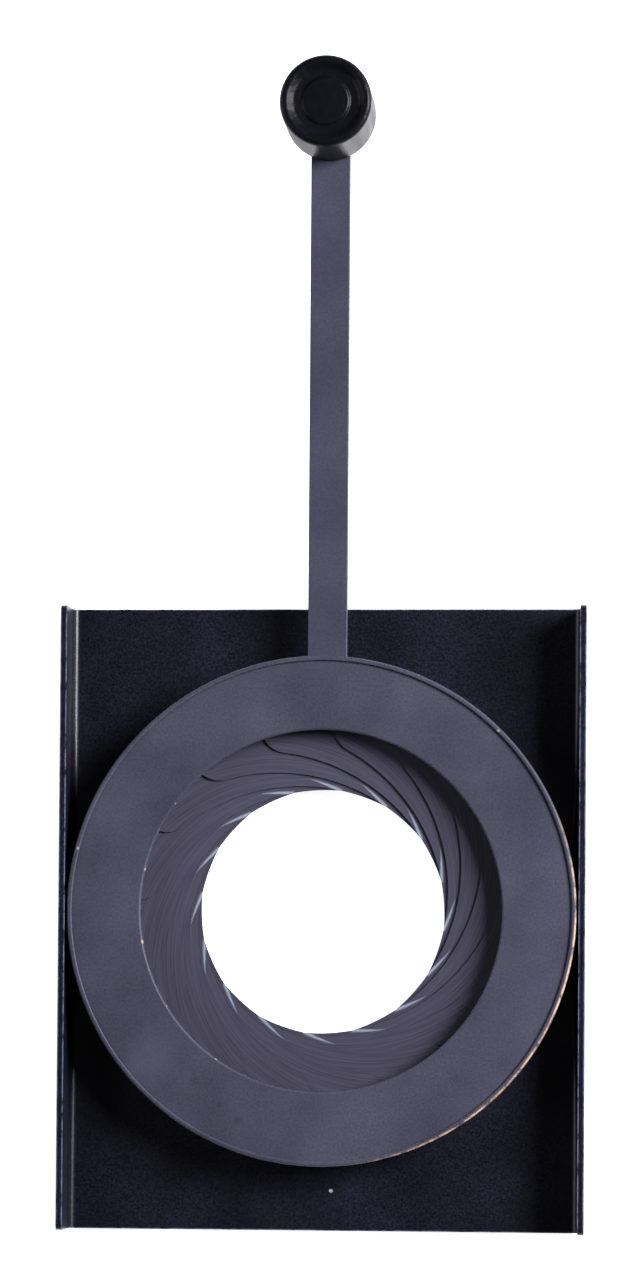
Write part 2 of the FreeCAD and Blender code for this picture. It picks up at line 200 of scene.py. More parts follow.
def painted_steel(name, coat, thin_coat, roughness, grain, edge, worn, wear_and_highlight):
    """Stoved paint on steel. The thin coat shows in clouds, the worn colour along edges, as rubbed-off
    paint and as a painted highlight.
    """
    finish, tree, shader = new_finish(name)
    where = add(tree, "TexCoord").outputs["Object"]
    clouds = add(tree, "TexNoise", {"Vector": where, "Scale": 1 / CLOUD, "Detail": 4.0})
    cloudy = add(tree, "MapRange", {"Value": clouds.outputs[0], 1: 0.35, 2: 0.68})
    coats = {0: cloudy.outputs[0], 6: linear(coat), 7: linear(thin_coat)}
    coloured = add(tree, "Mix", coats, data_type="RGBA")
    pigment = add(tree, "TexNoise", {"Vector": where, "Scale": 1 / GRAIN, "Detail": 2.0})
    speck = add(tree, "MapRange", {
        "Value": pigment.outputs[0], 1: 0.3, 2: 0.7, 3: 1 - grain, 4: 1 + grain})
    grained = add(
        tree, "VectorMath", {0: coloured.outputs[2], "Scale": speck.outputs[0]}, operation="SCALE")
    rounded = add(tree, "Bevel", {"Radius": edge}, samples=6)
    facing = add(tree, "NewGeometry").outputs["Normal"]
    turned = add(tree, "VectorMath", {0: rounded.outputs[0], 1: facing}, operation="DOT_PRODUCT")
    at_edge = add(tree, "MapRange", {"Value": turned.outputs["Value"], 1: 0.995, 2: 0.9})
    rubbed = add(tree, "TexNoise", {
        "Vector": where, "Scale": 1 / EDGE_WEAR_AND_HIGHLIGHT_PATCH, "Detail": 6.0, "Roughness": 0.7})
    patchy = add(tree, "MapRange", {
        "Value": rubbed.outputs[0], 1: 0.62 - 0.3 * wear_and_highlight, 2: 0.75 - 0.3 * wear_and_highlight})
    # The edge band is partly paint rubbed bare and partly a painted highlight, a lighter line where the
    # edges would catch the light.
    edge_wear_and_highlight = add(tree, "Math", {0: at_edge.outputs[0], 1: patchy.outputs[0]}, operation="MULTIPLY")
    final = add(
        tree, "Mix", {0: edge_wear_and_highlight.outputs[0], 6: grained.outputs[0], 7: linear(worn)}, data_type="RGBA")
    tree.links.new(final.outputs[2], shader.inputs["Base Color"])
    peel = add(tree, "TexNoise", {"Vector": where, "Scale": 1 / PEEL, "Detail": 3.0})
    bump = add(tree, "Bump", {"Height": peel.outputs[0], "Strength": 0.35, "Distance": 0.05 * MM})
    tree.links.new(bump.outputs[0], shader.inputs["Normal"])
    sheen = add(tree, "MapRange", {"Value": clouds.outputs[0], 3: roughness - 0.06, 4: roughness + 0.08})
    tree.links.new(sheen.outputs[0], shader.inputs["Roughness"])
    shader.inputs["Specular IOR Level"].default_value = 0.35
    print(name, "roughness about", roughness)
    return finish


# Coat, thin coat, roughness, grain, width of the edge band of wear and painted highlight,
# its colour and how strong it is.
# The carrier's light bluish edge colour is partly rubbed paint and partly a painted highlight along the
# bends and edges of the sheet.
carrier_paint = painted_steel(
    "stoved_black_paint", "101019", "181824", 0.31, 0.8, 0.55 * MM, "7a839e", 0.75)
# The ring's light edge colour, strong nearly all round, is partly rubbed paint and partly a painted
# highlight on the cover's and the rim's edges.
ring_paint = painted_steel(
    "graphite_satin_paint", "383746", "444352", 0.5, 0.2, 0.32 * MM, "7d7e90", 0.95)
lever_paint = painted_steel(
    "lever_satin_paint", "393847", "41404f", 0.48, 0.14, 0.25 * MM, "6d6c7c", 0.6)

# %% [markdown]
# ## Wear, marks and a painted highlight on the paint
#
# Where hands and other parts touch the housing, the paint has gone from the rolled rim and a
# warm brassy primer shows, mostly on the lower right. The cover's inner edge has small chips
# where the ends of the leaves pass under it, and a few dark smudges lie on its face. A larger,
# faint lighter patch on the face is a painted highlight, the sheen of its turned surface. Each
# mark is a mask mixed over the paint: a band along a rim, or round spots at given places.

# %% Marks over a finish
RIM_RUB = 2.4 * MM           # length of the patches along the worn rim


def mix_over(finish, mask, colour):
    """Mixes a colour into a finish where the mask is 1."""
    tree = finish.node_tree
    target = tree.nodes["Principled BSDF"].inputs["Base Color"]
    before = target.links[0].from_socket
    mixed = add(tree, "Mix", {0: mask, 6: before, 7: linear(colour)}, data_type="RGBA")
    tree.links.new(mixed.outputs[2], target)


def rub_rim(finish, radius, width, top, depth, bearing, reach, colour):
    """A worn band on a rim: near its radius and its top, within reach of a bearing."""
    tree = finish.node_tree
    where = add(tree, "TexCoord").outputs["Object"]
    axes = add(tree, "SeparateXYZ", {0: where})
    flat = add(tree, "CombineXYZ", {0: axes.outputs[0], 1: axes.outputs[1]})
    out = add(tree, "VectorMath", {0: flat.outputs[0]}, operation="LENGTH")
    band = add(tree, "MapRange", {
        "Value": out.outputs["Value"], 1: radius - width, 2: radius - 0.4 * width})
    angle = add(tree, "Math", {0: axes.outputs[1], 1: axes.outputs[0]}, operation="ARCTAN2")
    aside = add(tree, "Math", {0: angle.outputs[0], 1: math.radians(bearing)}, operation="SUBTRACT")
    off = add(tree, "Math", {0: aside.outputs[0]}, operation="ABSOLUTE")
    near = add(tree, "MapRange", {
        "Value": off.outputs[0], 1: math.radians(reach), 2: math.radians(0.6 * reach)})
    rubbed = add(tree, "TexNoise", {
        "Vector": where, "Scale": 1 / RIM_RUB, "Detail": 5.0, "Roughness": 0.7})
    patchy = add(tree, "MapRange", {"Value": rubbed.outputs[0], 1: 0.38, 2: 0.55})
    high = add(tree, "MapRange", {"Value": axes.outputs[2], 1: top - depth, 2: top - 0.5 * depth})
    both = add(tree, "Math", {0: band.outputs[0], 1: near.outputs[0]}, operation="MULTIPLY")
    rim = add(tree, "Math", {0: both.outputs[0], 1: high.outputs[0]}, operation="MULTIPLY")
    mask = add(tree, "Math", {0: rim.outputs[0], 1: patchy.outputs[0]}, operation="MULTIPLY")
    mix_over(finish, mask.outputs[0], colour)


def spot(finish, place, size, strength, colour):
    """One ragged round mark at a point in the part's frame."""
    tree = finish.node_tree
    where = add(tree, "TexCoord").outputs["Object"]
    ragged = add(tree, "TexNoise", {"Vector": where, "Scale": 0.8 / size, "Detail": 4.0})
    wobble = add(tree, "MapRange", {"Value": ragged.outputs[0], 3: -0.6 * size, 4: 0.6 * size})
    away = add(tree, "VectorMath", {0: where, 1: place}, operation="DISTANCE")
    edge = add(tree, "Math", {0: away.outputs["Value"], 1: wobble.outputs[0]}, operation="ADD")
    mask = add(tree, "MapRange", {"Value": edge.outputs[0], 1: size, 2: 0.4 * size, 4: strength})
    mix_over(finish, mask.outputs[0], colour)


def on_circle(radius, degrees, height):
    """A point at a radius and an angle about the optical axis."""
    return (radius * math.cos(math.radians(degrees)), radius * math.sin(math.radians(degrees)), height)


housing_paint = ring_paint.copy()
housing_paint.name = "graphite_satin_paint_rubbed_rim"
rub_rim(housing_paint, housing_high.x, 0.55 * MM, housing_high.z, 1.2 * MM, -30, 54, "d2b092")
BEAD_R = housing_high.x - 0.7 * MM     # middle of the rolled bead
for degrees in (45.6, 165.9):
    knock = on_circle(BEAD_R, degrees, housing_high.z)
    spot(housing_paint, knock, 0.4 * MM, 0.6, "b9b2a4")
CHIPS = ((144, 0.25), (167, 0.4), (190, 0.55), (212, 0.25), (235, 0.35))   # degrees, size in mm
for degrees, size in CHIPS:
    spot(ring_paint, on_circle(CLEAR_R, degrees, cover_high.z - 0.3 * MM), size * MM, 0.75, "c4b08c")
for x, y, size in ((-27.6, -37.7, 1.6), (-17.9, -46.2, 1.3), (-22.0, -43.0, 0.9)):
    spot(ring_paint, (x * MM, y * MM, cover_high.z), size * MM, 0.45, "2b2936")
# A faint lighter patch, 8 mm across, is a painted highlight: the sheen that the cover's turned face
# shows on this side.
spot(ring_paint, (-36.5 * MM, -32 * MM, cover_high.z), 8 * MM, 0.22, "5d5c6b")
spot(carrier_paint, (1.9 * MM, -62 * MM, SHEET), 0.55 * MM, 1.0, "b3b2bd")
print(len(CHIPS), "chips on the cover's inner edge")

# %% [markdown]
# ## Metals, and the knob's plastic
#
# Metals need little: a base colour, a roughness and the marks of how they were made. The
# pins are turned brass, rivets and screw are zinc plated, and the two hidden rings are
# rolled mild steel. The knob is a phenolic moulding, a hard black plastic with a deep gloss.

# %% Plain metals
def plain_metal(name, colour, tint, roughness, mark):
    """Bare metal with slow changes of tint and fine marks from its making."""
    finish, tree, shader = new_finish(name)
    where = add(tree, "TexCoord").outputs["Object"]
    patches = add(tree, "TexNoise", {"Vector": where, "Scale": 1 / (2.5 * MM), "Detail": 3.0})
    colours = {0: patches.outputs[0], 6: linear(colour), 7: linear(tint)}
    mixed = add(tree, "Mix", colours, data_type="RGBA")
    tree.links.new(mixed.outputs[2], shader.inputs["Base Color"])
    marks = add(tree, "TexNoise", {"Vector": where, "Scale": 1 / mark, "Detail": 4.0})
    dull = add(tree, "MapRange", {"Value": marks.outputs[0], 3: roughness - 0.08, 4: roughness + 0.12})
    tree.links.new(dull.outputs[0], shader.inputs["Roughness"])
    bump = add(tree, "Bump", {"Height": marks.outputs[0], "Strength": 0.3, "Distance": 0.01 * MM})
    tree.links.new(bump.outputs[0], shader.inputs["Normal"])
    shader.inputs["Metallic"].default_value = 1.0
    print(name, "roughness about", roughness)
    return finish


brass = plain_metal("turned_brass", "c9a45c", "b08b48", 0.32, 0.4 * MM)
zinc = plain_metal("zinc_plated_steel", "a9adb2", "8f9499", 0.38, 0.5 * MM)
mild_steel = plain_metal("rolled_mild_steel", "7c7d82", "66676c", 0.42, 0.8 * MM)

# %% Knob plastic
FLOW = 2.2 * MM              # width of the ripples that the flowing resin left, up the side
finish, tree, shader = new_finish("black_phenolic_moulding")
where = add(tree, "TexCoord").outputs["Object"]
upright = add(tree, "Mapping", {"Vector": where, "Scale": (1 / FLOW, 1 / FLOW, 0.12 / FLOW)})
flow = add(tree, "TexNoise", {"Vector": upright.outputs[0], "Scale": 1.0, "Detail": 2.0})
smear = add(tree, "MapRange", {"Value": flow.outputs[0], 3: 0.26, 4: 0.46})
tree.links.new(smear.outputs[0], shader.inputs["Roughness"])
ripple = add(tree, "Bump", {"Height": flow.outputs[0], "Strength": 0.5, "Distance": 0.35 * MM})
tree.links.new(ripple.outputs[0], shader.inputs["Normal"])
shader.inputs["Base Color"].default_value = linear("0d0d13")
shader.inputs["IOR"].default_value = 1.5
shader.inputs["Specular IOR Level"].default_value = 0.12
phenolic = finish
print(phenolic.name, "with ripples", round(FLOW / MM, 1), "mm wide")

# %% [markdown]
# ## Blackened leaf steel
#
# The leaves are spring steel, blackened so that they throw no light back into the lens.
# They slide on each other every time the lever moves. That polishes fine arcs into the
# black, and where one leaf's edge rides on the next it wears through to bright metal in a
# short streak. Both follow the leaf and not the room, so this finish reads the leaf's UV map:
# U runs along the leaf from pivot to drive pin, and V across it from the inside edge.

# %% Leaf finish
LEAF_WIDTH = 12.0 * MM
LEAF_LENGTH = 116.0 * MM     # along the middle of the leaf
STREAK_U = (0.637, 0.707)    # where the bright streak starts and ends along the leaf
STREAK_V = 1.7 / 12          # how far in from the edge it ends
STREAK_HALF = (0.56 / 12, 0.12 / 12)   # half its width at either end
ARC_LENGTH = 25 * MM         # length of the polished arcs
ARC_WIDTH = 0.35 * MM
finish, tree, shader = new_finish("blackened_spring_steel")
leaf_uv = add(tree, "UVMap", uv_map="leaf").outputs["UV"]
along = add(tree, "SeparateXYZ", {0: leaf_uv})
arc_scale = (LEAF_LENGTH / ARC_LENGTH, LEAF_WIDTH / ARC_WIDTH, 1)
stretched = add(tree, "Mapping", {"Vector": leaf_uv, "Scale": arc_scale})
arcs = add(tree, "TexNoise", {
    "Vector": stretched.outputs[0], "Scale": 1.0, "Detail": 5.0, "Roughness": 0.6})
polish = add(tree, "MapRange", {"Value": arcs.outputs[0], 1: 0.4, 2: 0.72})
blacks = {0: polish.outputs[0], 6: linear("363443"), 7: linear("4b4959")}
black = add(tree, "Mix", blacks, data_type="RGBA")
part_way = add(tree, "MapRange", {"Value": along.outputs[0], 1: STREAK_U[0], 2: STREAK_U[1]})
middle = add(tree, "Math", {0: part_way.outputs[0], 1: STREAK_V}, operation="MULTIPLY")
aside = add(tree, "Math", {0: along.outputs[1], 1: middle.outputs[0]}, operation="SUBTRACT")
distance = add(tree, "Math", {0: aside.outputs[0]}, operation="ABSOLUTE")
half_width = add(tree, "MapRange", {"Value": part_way.outputs[0], 3: STREAK_HALF[0], 4: STREAK_HALF[1]})
share = add(tree, "Math", {0: distance.outputs[0], 1: half_width.outputs[0]}, operation="DIVIDE")
inside = add(tree, "MapRange", {"Value": share.outputs[0], 1: 1.1, 2: 0.0})
started = add(tree, "MapRange", {"Value": along.outputs[0], 1: STREAK_U[0] - 0.006, 2: STREAK_U[0]})
ended = add(tree, "MapRange", {"Value": along.outputs[0], 1: STREAK_U[1], 2: STREAK_U[1] - 0.03})
span = add(tree, "Math", {0: started.outputs[0], 1: ended.outputs[0]}, operation="MULTIPLY")
streak = add(tree, "Math", {0: inside.outputs[0], 1: span.outputs[0]}, operation="MULTIPLY")
broken = add(tree, "MapRange", {"Value": arcs.outputs[0], 1: 0.35, 2: 0.6, 3: 0.35, 4: 1.0})
bright = add(tree, "Math", {0: streak.outputs[0], 1: broken.outputs[0]}, operation="MULTIPLY")
bared = {0: bright.outputs[0], 6: black.outputs[2], 7: linear("aab6c4")}
worn = add(tree, "Mix", bared, data_type="RGBA")
tree.links.new(worn.outputs[2], shader.inputs["Base Color"])
fine = add(tree, "Bump", {"Height": arcs.outputs[0], "Strength": 0.3, "Distance": 0.03 * MM})
tree.links.new(fine.outputs[0], shader.inputs["Normal"])
shader.inputs["Roughness"].default_value = 0.5
shader.inputs["Specular IOR Level"].default_value = 0.4
leaf_finish = finish
print("leaf streaks", round((STREAK_U[1] - STREAK_U[0]) * LEAF_LENGTH / MM, 1), "mm long")

# %% [markdown]
# ## Tools of the bench
#
# Most pieces start as an outline. A plane is added and merged to a single point, the point is
# extruded from corner to corner, and the corners that are round on the real piece are
# bevelled. After that the outline is spun about an axis, as on a lathe, or extruded.
#
# Three more helpers are used on every piece. One selects by a test, because an operator acts
# on all that is selected. One cuts a shape out of another. The last one, settle, gives a
# finished piece its material, attaches it to the body it rides on and hides the node it stands for.

# %% Bench helpers
def start_fresh():
    """Nothing selected, and nothing in edit mode."""
    if bpy.context.object and bpy.context.object.mode == "EDIT":
        bpy.ops.object.mode_set(mode="OBJECT")
    bpy.ops.object.select_all(action="DESELECT")


def pick(kind, test):
    """In edit mode, selects only the vertices, edges or faces that pass a test."""
    bpy.ops.mesh.select_mode(type=kind)
    bpy.ops.mesh.select_all(action="DESELECT")
    shape = bmesh.from_edit_mesh(bpy.context.object.data)
    items = {"VERT": shape.verts, "EDGE": shape.edges, "FACE": shape.faces}[kind]
    chosen = [item for item in items if test(item)]
    for item in chosen:
        item.select_set(True)
    shape.select_flush_mode()
    bmesh.update_edit_mesh(bpy.context.object.data)
    return len(chosen)


def outline(name, corners, closed=True):
    """Points joined in the XZ plane. A corner is (x, z), or (x, z, cut-back) where it is rounded."""
    start_fresh()
    bpy.ops.mesh.primitive_plane_add(size=MM)
    piece = bpy.context.object
    piece.name = name
    bpy.ops.object.mode_set(mode="EDIT")
    bpy.ops.mesh.select_mode(type="VERT")
    bpy.ops.mesh.select_all(action="SELECT")
    bpy.ops.mesh.merge(type="CENTER")
    bpy.ops.transform.translate(value=(corners[0][0], 0, corners[0][1]))
    around = corners + corners[:1] if closed else corners
    for here, there in zip(around, around[1:]):
        step = (there[0] - here[0], 0, there[1] - here[1])
        bpy.ops.mesh.extrude_region_move(TRANSFORM_OT_translate={"value": step})
    bpy.ops.mesh.select_all(action="SELECT")
    bpy.ops.mesh.remove_doubles(threshold=0.001 * MM)
    for corner in corners:
        if len(corner) == 3:
            pick("VERT", lambda v: abs(v.co.x - corner[0]) + abs(v.co.z - corner[1]) < 0.001 * MM)
            bpy.ops.mesh.bevel(offset=corner[2], segments=6, affect="VERTICES")
    return piece


def spun(name, corners, steps=240, sweep=360, closed=True):
    """An outline turned about the Z axis. The operator counts its angle clockwise from above."""
    piece = outline(name, corners, closed)
    bpy.ops.mesh.select_all(action="SELECT")
    bpy.ops.mesh.spin(steps=steps, angle=-math.radians(sweep), center=(0, 0, 0), axis=(0, 0, 1))
    bpy.ops.mesh.select_all(action="SELECT")
    bpy.ops.mesh.remove_doubles(threshold=0.002 * MM)
    if sweep < 360:
        bpy.ops.mesh.fill_holes(sides=0)
    bpy.ops.mesh.normals_make_consistent(inside=False)
    bpy.ops.object.mode_set(mode="OBJECT")
    return piece


def turn(piece, degrees, centre=(0, 0, 0)):
    """Turns a whole piece about a line along Z, anticlockwise from above."""
    start_fresh()
    piece.select_set(True)
    bpy.context.view_layer.objects.active = piece
    bpy.ops.transform.rotate(value=-math.radians(degrees), orient_axis="Z", center_override=centre)
    bpy.ops.object.transform_apply(location=True, rotation=True, scale=True)


def use(piece, kind, **settings):
    """Adds a modifier with its settings and applies it."""
    start_fresh()
    piece.select_set(True)
    bpy.context.view_layer.objects.active = piece
    made = piece.modifiers.new(kind.lower(), kind)
    for name, value in settings.items():
        setattr(made, name, value)
    bpy.ops.object.modifier_apply(modifier=made.name)


def cut(piece, tool):
    """Takes the tool's shape out of the piece and throws the tool away."""
    use(piece, "BOOLEAN", object=tool, operation="DIFFERENCE", solver="EXACT")
    bpy.data.objects.remove(tool)


def drill(name, radius, low, high, places, sides=48):
    """One tool of several round bars along Z, at (x, y) places."""
    start_fresh()
    bars = []
    for x, y in places:
        bpy.ops.mesh.primitive_cylinder_add(
            vertices=sides, radius=radius, depth=high - low, location=(x, y, (low + high) / 2))
        bars.append(bpy.context.object)
    for bar in bars:
        bar.select_set(True)
    if len(bars) > 1:
        bpy.ops.object.join()
    bpy.context.object.name = name
    bpy.ops.object.transform_apply(location=True, rotation=True, scale=True)
    return bpy.context.object


def rivet_tool(names):
    """The frame's own rivets as a cutting tool, so that each fills the hole it makes."""
    start_fresh()
    for name in names:
        copy = nodes[name].copy()
        copy.data = nodes[name].data.copy()
        copy.parent = None
        bpy.context.scene.collection.objects.link(copy)
        copy.select_set(True)
        bpy.context.view_layer.objects.active = copy
    bpy.ops.object.join()
    bpy.ops.object.mode_set(mode="EDIT")
    bpy.ops.mesh.select_all(action="SELECT")
    bpy.ops.mesh.remove_doubles(threshold=0.005 * MM)
    bpy.ops.transform.shrink_fatten(value=0.03 * MM)
    bpy.ops.object.mode_set(mode="OBJECT")
    return bpy.context.object


def settle(piece, finish, body, replaced, smooth=35):
    """Last steps for a piece: shading, finish, body, and hiding the node it stands for."""
    start_fresh()
    piece.select_set(True)
    bpy.context.view_layer.objects.active = piece
    bpy.ops.object.transform_apply(location=True, rotation=True, scale=True)
    bpy.ops.object.shade_smooth_by_angle(angle=math.radians(smooth))
    use(piece, "WEIGHTED_NORMAL", keep_sharp=True)
    piece.data.materials.clear()
    piece.data.materials.append(finish)
    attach(piece, body)
    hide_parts(replaced)
    size = [round(d / MM, 2) for d in piece.dimensions]
    print(piece.name, size, "mm,", len(piece.data.polygons), "faces")


print("bench ready")

# %% [markdown]
# ## Cover ring
#
# The flat face around the opening is a blanked steel washer. Its front inner edge is rolled
# over a little, and the other edges only lost their burr. Spinning its section is the way a
# lathe would face it, and it gives clean round edges that catch a thin line of light.

# %% Model the cover
BURR = 0.12 * MM             # broken edge of a blanked sheet part
cover = spun("cover_face", [
    (CLEAR_R, cover_low.z, BURR),
    (cover_high.x, cover_low.z, BURR),
    (cover_high.x, cover_high.z, BURR),
    (CLEAR_R, cover_high.z, 0.5 * MM),
])
settle(cover, ring_paint, "carrier", "cover_ring")

# %% [markdown]
# ## Housing
#
# The housing is a drawn cup. Its wall is thinned at the top and rolled over the cover, which
# leaves a narrow raised bead all round the face. The wall has a long slot for the lever, and
# the floor has sixteen holes for the leaves' pivot pins. Section first, then the cuts.
#
# One fault is open. The slot's tool starts at the same radius as the inside of the wall, so
# the two faces coincide, and a skin a few thousandths of a millimetre thick stays across the
# slot. A cutting shape should always start clear of the face that it cuts through.

# %% Model the housing
WALL_IN_R = 55.0 * MM        # inside of the wall, and of the cover's seat
LIP_IN_R = 55.3 * MM         # inner edge of the rolled bead
floor_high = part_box("spacer_ring")[0].z
wall_r = housing_high.x
housing = spun("housing_shell", [
    (FLOOR_R, housing_low.z, BURR),
    (wall_r, housing_low.z, 1.5 * MM),
    (wall_r, housing_high.z, 0.5 * MM),
    (LIP_IN_R, housing_high.z, 0.3 * MM),
    (LIP_IN_R, cover_high.z),
    (cover_high.x, cover_high.z),
    (cover_high.x, cover_low.z),
    (WALL_IN_R, cover_low.z),
    (WALL_IN_R, floor_high, 0.5 * MM),
    (FLOOR_R, floor_high, BURR),
])
print("housing section spun", len(housing.data.polygons), "faces")

# %% Cut the lever slot and the pivot holes
LEVER_GAP = 0.2 * MM         # slot below the lever
SLOT_END = 5.2               # degrees from the lever's middle to the slot's end at a stop
LEVER_ASIDE = 1.0            # degrees that the lever's middle lies off the Y axis at the wall
PIVOT_HOLE_R = 1.05 * MM
lever_joint = next(j for j in frame["joints"] if j["name"] == "lever_swing")
travel = lever_joint["range_deg"][1]
slot_low = lever_low.z - LEVER_GAP
slot_sweep = 2 * (travel + SLOT_END)
slot_tool = spun("slot_tool", [
    (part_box("spacer_ring")[1].x, slot_low),
    (wall_r + MM, slot_low),
    (wall_r + MM, cover_low.z),
    (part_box("spacer_ring")[1].x, cover_low.z),
], steps=72, sweep=slot_sweep)
turn(slot_tool, 90 - slot_sweep / 2 - LEVER_ASIDE)
cut(housing, slot_tool)
leaf_joints = [j for j in frame["joints"] if j["name"].startswith("leaf_")]
pivots = [j["pos_m"][:2] for j in leaf_joints]
cut(housing, drill("pivot_holes", PIVOT_HOLE_R, housing_low.z - MM, floor_high + MM, pivots))
housing_rivets = ["housing_rivet_%d" % i for i in range(1, 5)]
cut(housing, rivet_tool(housing_rivets))
settle(housing, housing_paint, "carrier", "housing_cup")

# %% [markdown]
# ## Carrier
#
# The carrier is one blank of sheet steel with a flange bent up along each side. Its end
# view is drawn as one line, the outside of the sheet, with a round corner at each bend. The
# line is extruded along Y and then given the sheet's thickness on its inner side, which is
# how a press brake sees it too. The opening and the countersunk rivet holes come last.

# %% Model the carrier
carrier = outline("carrier_sheet", [
    (carrier_low.x, carrier_high.z),
    (carrier_low.x, carrier_low.z, BEND_R),
    (carrier_high.x, carrier_low.z, BEND_R),
    (carrier_high.x, carrier_high.z),
], closed=False)
bpy.ops.mesh.select_all(action="SELECT")
bpy.ops.transform.translate(value=(0, carrier_low.y, 0))
length = carrier_high.y - carrier_low.y
bpy.ops.mesh.extrude_region_move(TRANSFORM_OT_translate={"value": (0, length, 0)})
bpy.ops.mesh.select_all(action="SELECT")
bpy.ops.mesh.normals_make_consistent(inside=False)
bpy.ops.object.mode_set(mode="OBJECT")
use(carrier, "SOLIDIFY", thickness=SHEET, offset=-1.0, use_even_offset=True)
print("sheet", [round(d / MM, 2) for d in carrier.dimensions], "wanted",
      [round(d / MM, 2) for d in (carrier_high - carrier_low)])

# %% Round the flange tips and open the carrier
FLANGE_TIP_R = 1.5 * MM
start_fresh()
bpy.context.view_layer.objects.active = carrier
carrier.select_set(True)
bpy.ops.object.mode_set(mode="EDIT")


def is_tip(edge):
    """True for the short edges along X at the ends of the two flange tips."""
    first, second = (v.co for v in edge.verts)
    at_top = min(first.z, second.z) > carrier_high.z - HAIR
    return at_top and abs(first.y - second.y) < HAIR and abs(first.x - second.x) > SHEET / 2


found = pick("EDGE", is_tip)
bpy.ops.mesh.bevel(offset=FLANGE_TIP_R, segments=8)
bpy.ops.object.mode_set(mode="OBJECT")
cut(carrier, drill("carrier_bore", CARRIER_BORE_R, -MM, SHEET + MM, [(0, 0)], sides=240))
cut(carrier, rivet_tool(housing_rivets))
use(carrier, "BEVEL", width=0.15 * MM, segments=2, limit_method="ANGLE", angle_limit=math.radians(50))
print(found, "flange corners rounded")
settle(carrier, carrier_paint, "carrier", "carrier_plate")

# %% [markdown]
# ## Lever
#
# The lever is flat bar, sheared to width, with a round end under the knob. A box of the
# bar's size has its two far corners bevelled by half the width, which makes the end a true
# half circle. Its rivets are countersunk, and the screw of the knob has a clear hole.

# %% Model the lever
SCREW_HOLE_R = 2.1 * MM


def is_far_corner(edge):
    """True for the two upright edges at the bar's far end."""
    first, second = (v.co for v in edge.verts)
    return abs(first.z - second.z) > MM and first.y > lever_high.y - HAIR


start_fresh()
bpy.ops.mesh.primitive_cube_add(
    size=1, location=(lever_low + lever_high) / 2, scale=lever_high - lever_low)
lever = bpy.context.object
lever.name = "lever_bar"
bpy.ops.object.transform_apply(location=True, rotation=True, scale=True)
bpy.ops.object.mode_set(mode="EDIT")
pick("EDGE", is_far_corner)
bpy.ops.mesh.bevel(offset=(lever_high.x - lever_low.x) / 2 - HAIR, segments=16)
bpy.ops.object.mode_set(mode="OBJECT")
cut(lever, rivet_tool(["lever_rivet_1", "lever_rivet_2"]))
cut(lever, drill("screw_hole", SCREW_HOLE_R, lever_low.z - MM, lever_high.z + MM, [KNOB_CENTRE]))
use(lever, "BEVEL", width=0.2 * MM, segments=3, limit_method="ANGLE", angle_limit=math.radians(50))
settle(lever, lever_paint, "lever", "lever_arm")

# %% [markdown]
# ## Knob
#
# The knob is a phenolic moulding in the shape of a short cylinder. Its face has a flat rim,
# slopes down into a shallow groove and comes up again to a slightly domed disc. It is spun
# from half a section that starts and ends on the axis, so the bore for the screw is real.

# %% Model the knob
BORE_R = 2.0 * MM
BORE_DEPTH = 9.0 * MM
RIM_WIDTH = 1.6 * MM
SLOPE = 1.3 * MM             # from the rim down into the groove
GROOVE = 1.05 * MM           # groove below the rim
DISC_R = 5.0 * MM
DISC_DROP = 0.55 * MM        # edge of the middle disc below the rim
knob_r = (knob_high.x - knob_low.x) / 2
top = knob_high.z
rim_r = knob_r - RIM_WIDTH
knob = spun("knob_turned", [
    (0, knob_low.z + BORE_DEPTH),
    (BORE_R, knob_low.z + BORE_DEPTH),
    (BORE_R, knob_low.z, 0.3 * MM),
    (knob_r, knob_low.z, 0.8 * MM),
    (knob_r, top, 1.1 * MM),
    (rim_r, top, 0.3 * MM),
    (rim_r - SLOPE, top - 0.9 * MM, 0.4 * MM),
    (DISC_R + 0.5 * MM, top - GROOVE, 0.25 * MM),
    (DISC_R, top - DISC_DROP, 0.3 * MM),
    (DISC_R / 2, top - 0.9 * DISC_DROP, 1.0 * MM),
    (0, top - 0.8 * DISC_DROP),
], steps=96, closed=False)
knob.location = (*KNOB_CENTRE, 0)
settle(knob, phenolic, "lever", "knob")

# %% [markdown]
# ## Knob screw
#
# A pan-head screw comes from behind through the lever. Its head is spun too, and the cross
# recess is cut by one tapered blade, twice, a quarter turn apart.

# %% Model the screw
screw_low, screw_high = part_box("knob_screw")
head_r = (screw_high.x - screw_low.x) / 2
SHANK_R = 2.0 * MM
screw = spun("screw_pan_head", [
    (0, screw_low.z),
    (head_r, screw_low.z, 1.0 * MM),
    (head_r, lever_low.z, 0.1 * MM),
    (SHANK_R, lever_low.z),
    (SHANK_R, screw_high.z, 0.4 * MM),
    (0, screw_high.z),
], steps=48, closed=False)
RECESS = (4.4 * MM, 0.9 * MM, 1.2 * MM)     # length, width and depth of one slot of the cross
recess_z = screw_low.z + RECESS[2] / 2 - 0.1 * MM
for quarter in (0, 90):
    start_fresh()
    bpy.ops.mesh.primitive_cube_add(size=1, location=(0, 0, recess_z), scale=RECESS)
    blade = bpy.context.object
    bpy.ops.object.transform_apply(location=True, rotation=True, scale=True)
    bpy.ops.object.mode_set(mode="EDIT")
    pick("FACE", lambda f: f.normal.z > 0.9)
    bpy.ops.transform.resize(value=(0.45, 0.6, 1))
    bpy.ops.object.mode_set(mode="OBJECT")
    turn(blade, quarter + 20)
    cut(screw, blade)
screw.location = (*KNOB_CENTRE, 0)
settle(screw, zinc, "lever", "knob_screw")

# %% [markdown]
# ## Leaves
#
# A leaf is a strip of thin spring steel in the shape of an arc, with round ends. Sixteen of
# them lie on each other like the steps of a spiral stair, so each leaf climbs a little from
# its pivot pin to its drive pin. Flat leaves would cut through each other.
#
# One leaf is modelled as it lies when the iris is wide open, where its arc is centred on the
# optical axis. A short radial row of points is spun into the strip, and half of the row is
# spun about each pin to make the round ends. Then the strip is lifted along its length,
# given its thickness and drilled. No operator lifts points by their angle, so code does that.

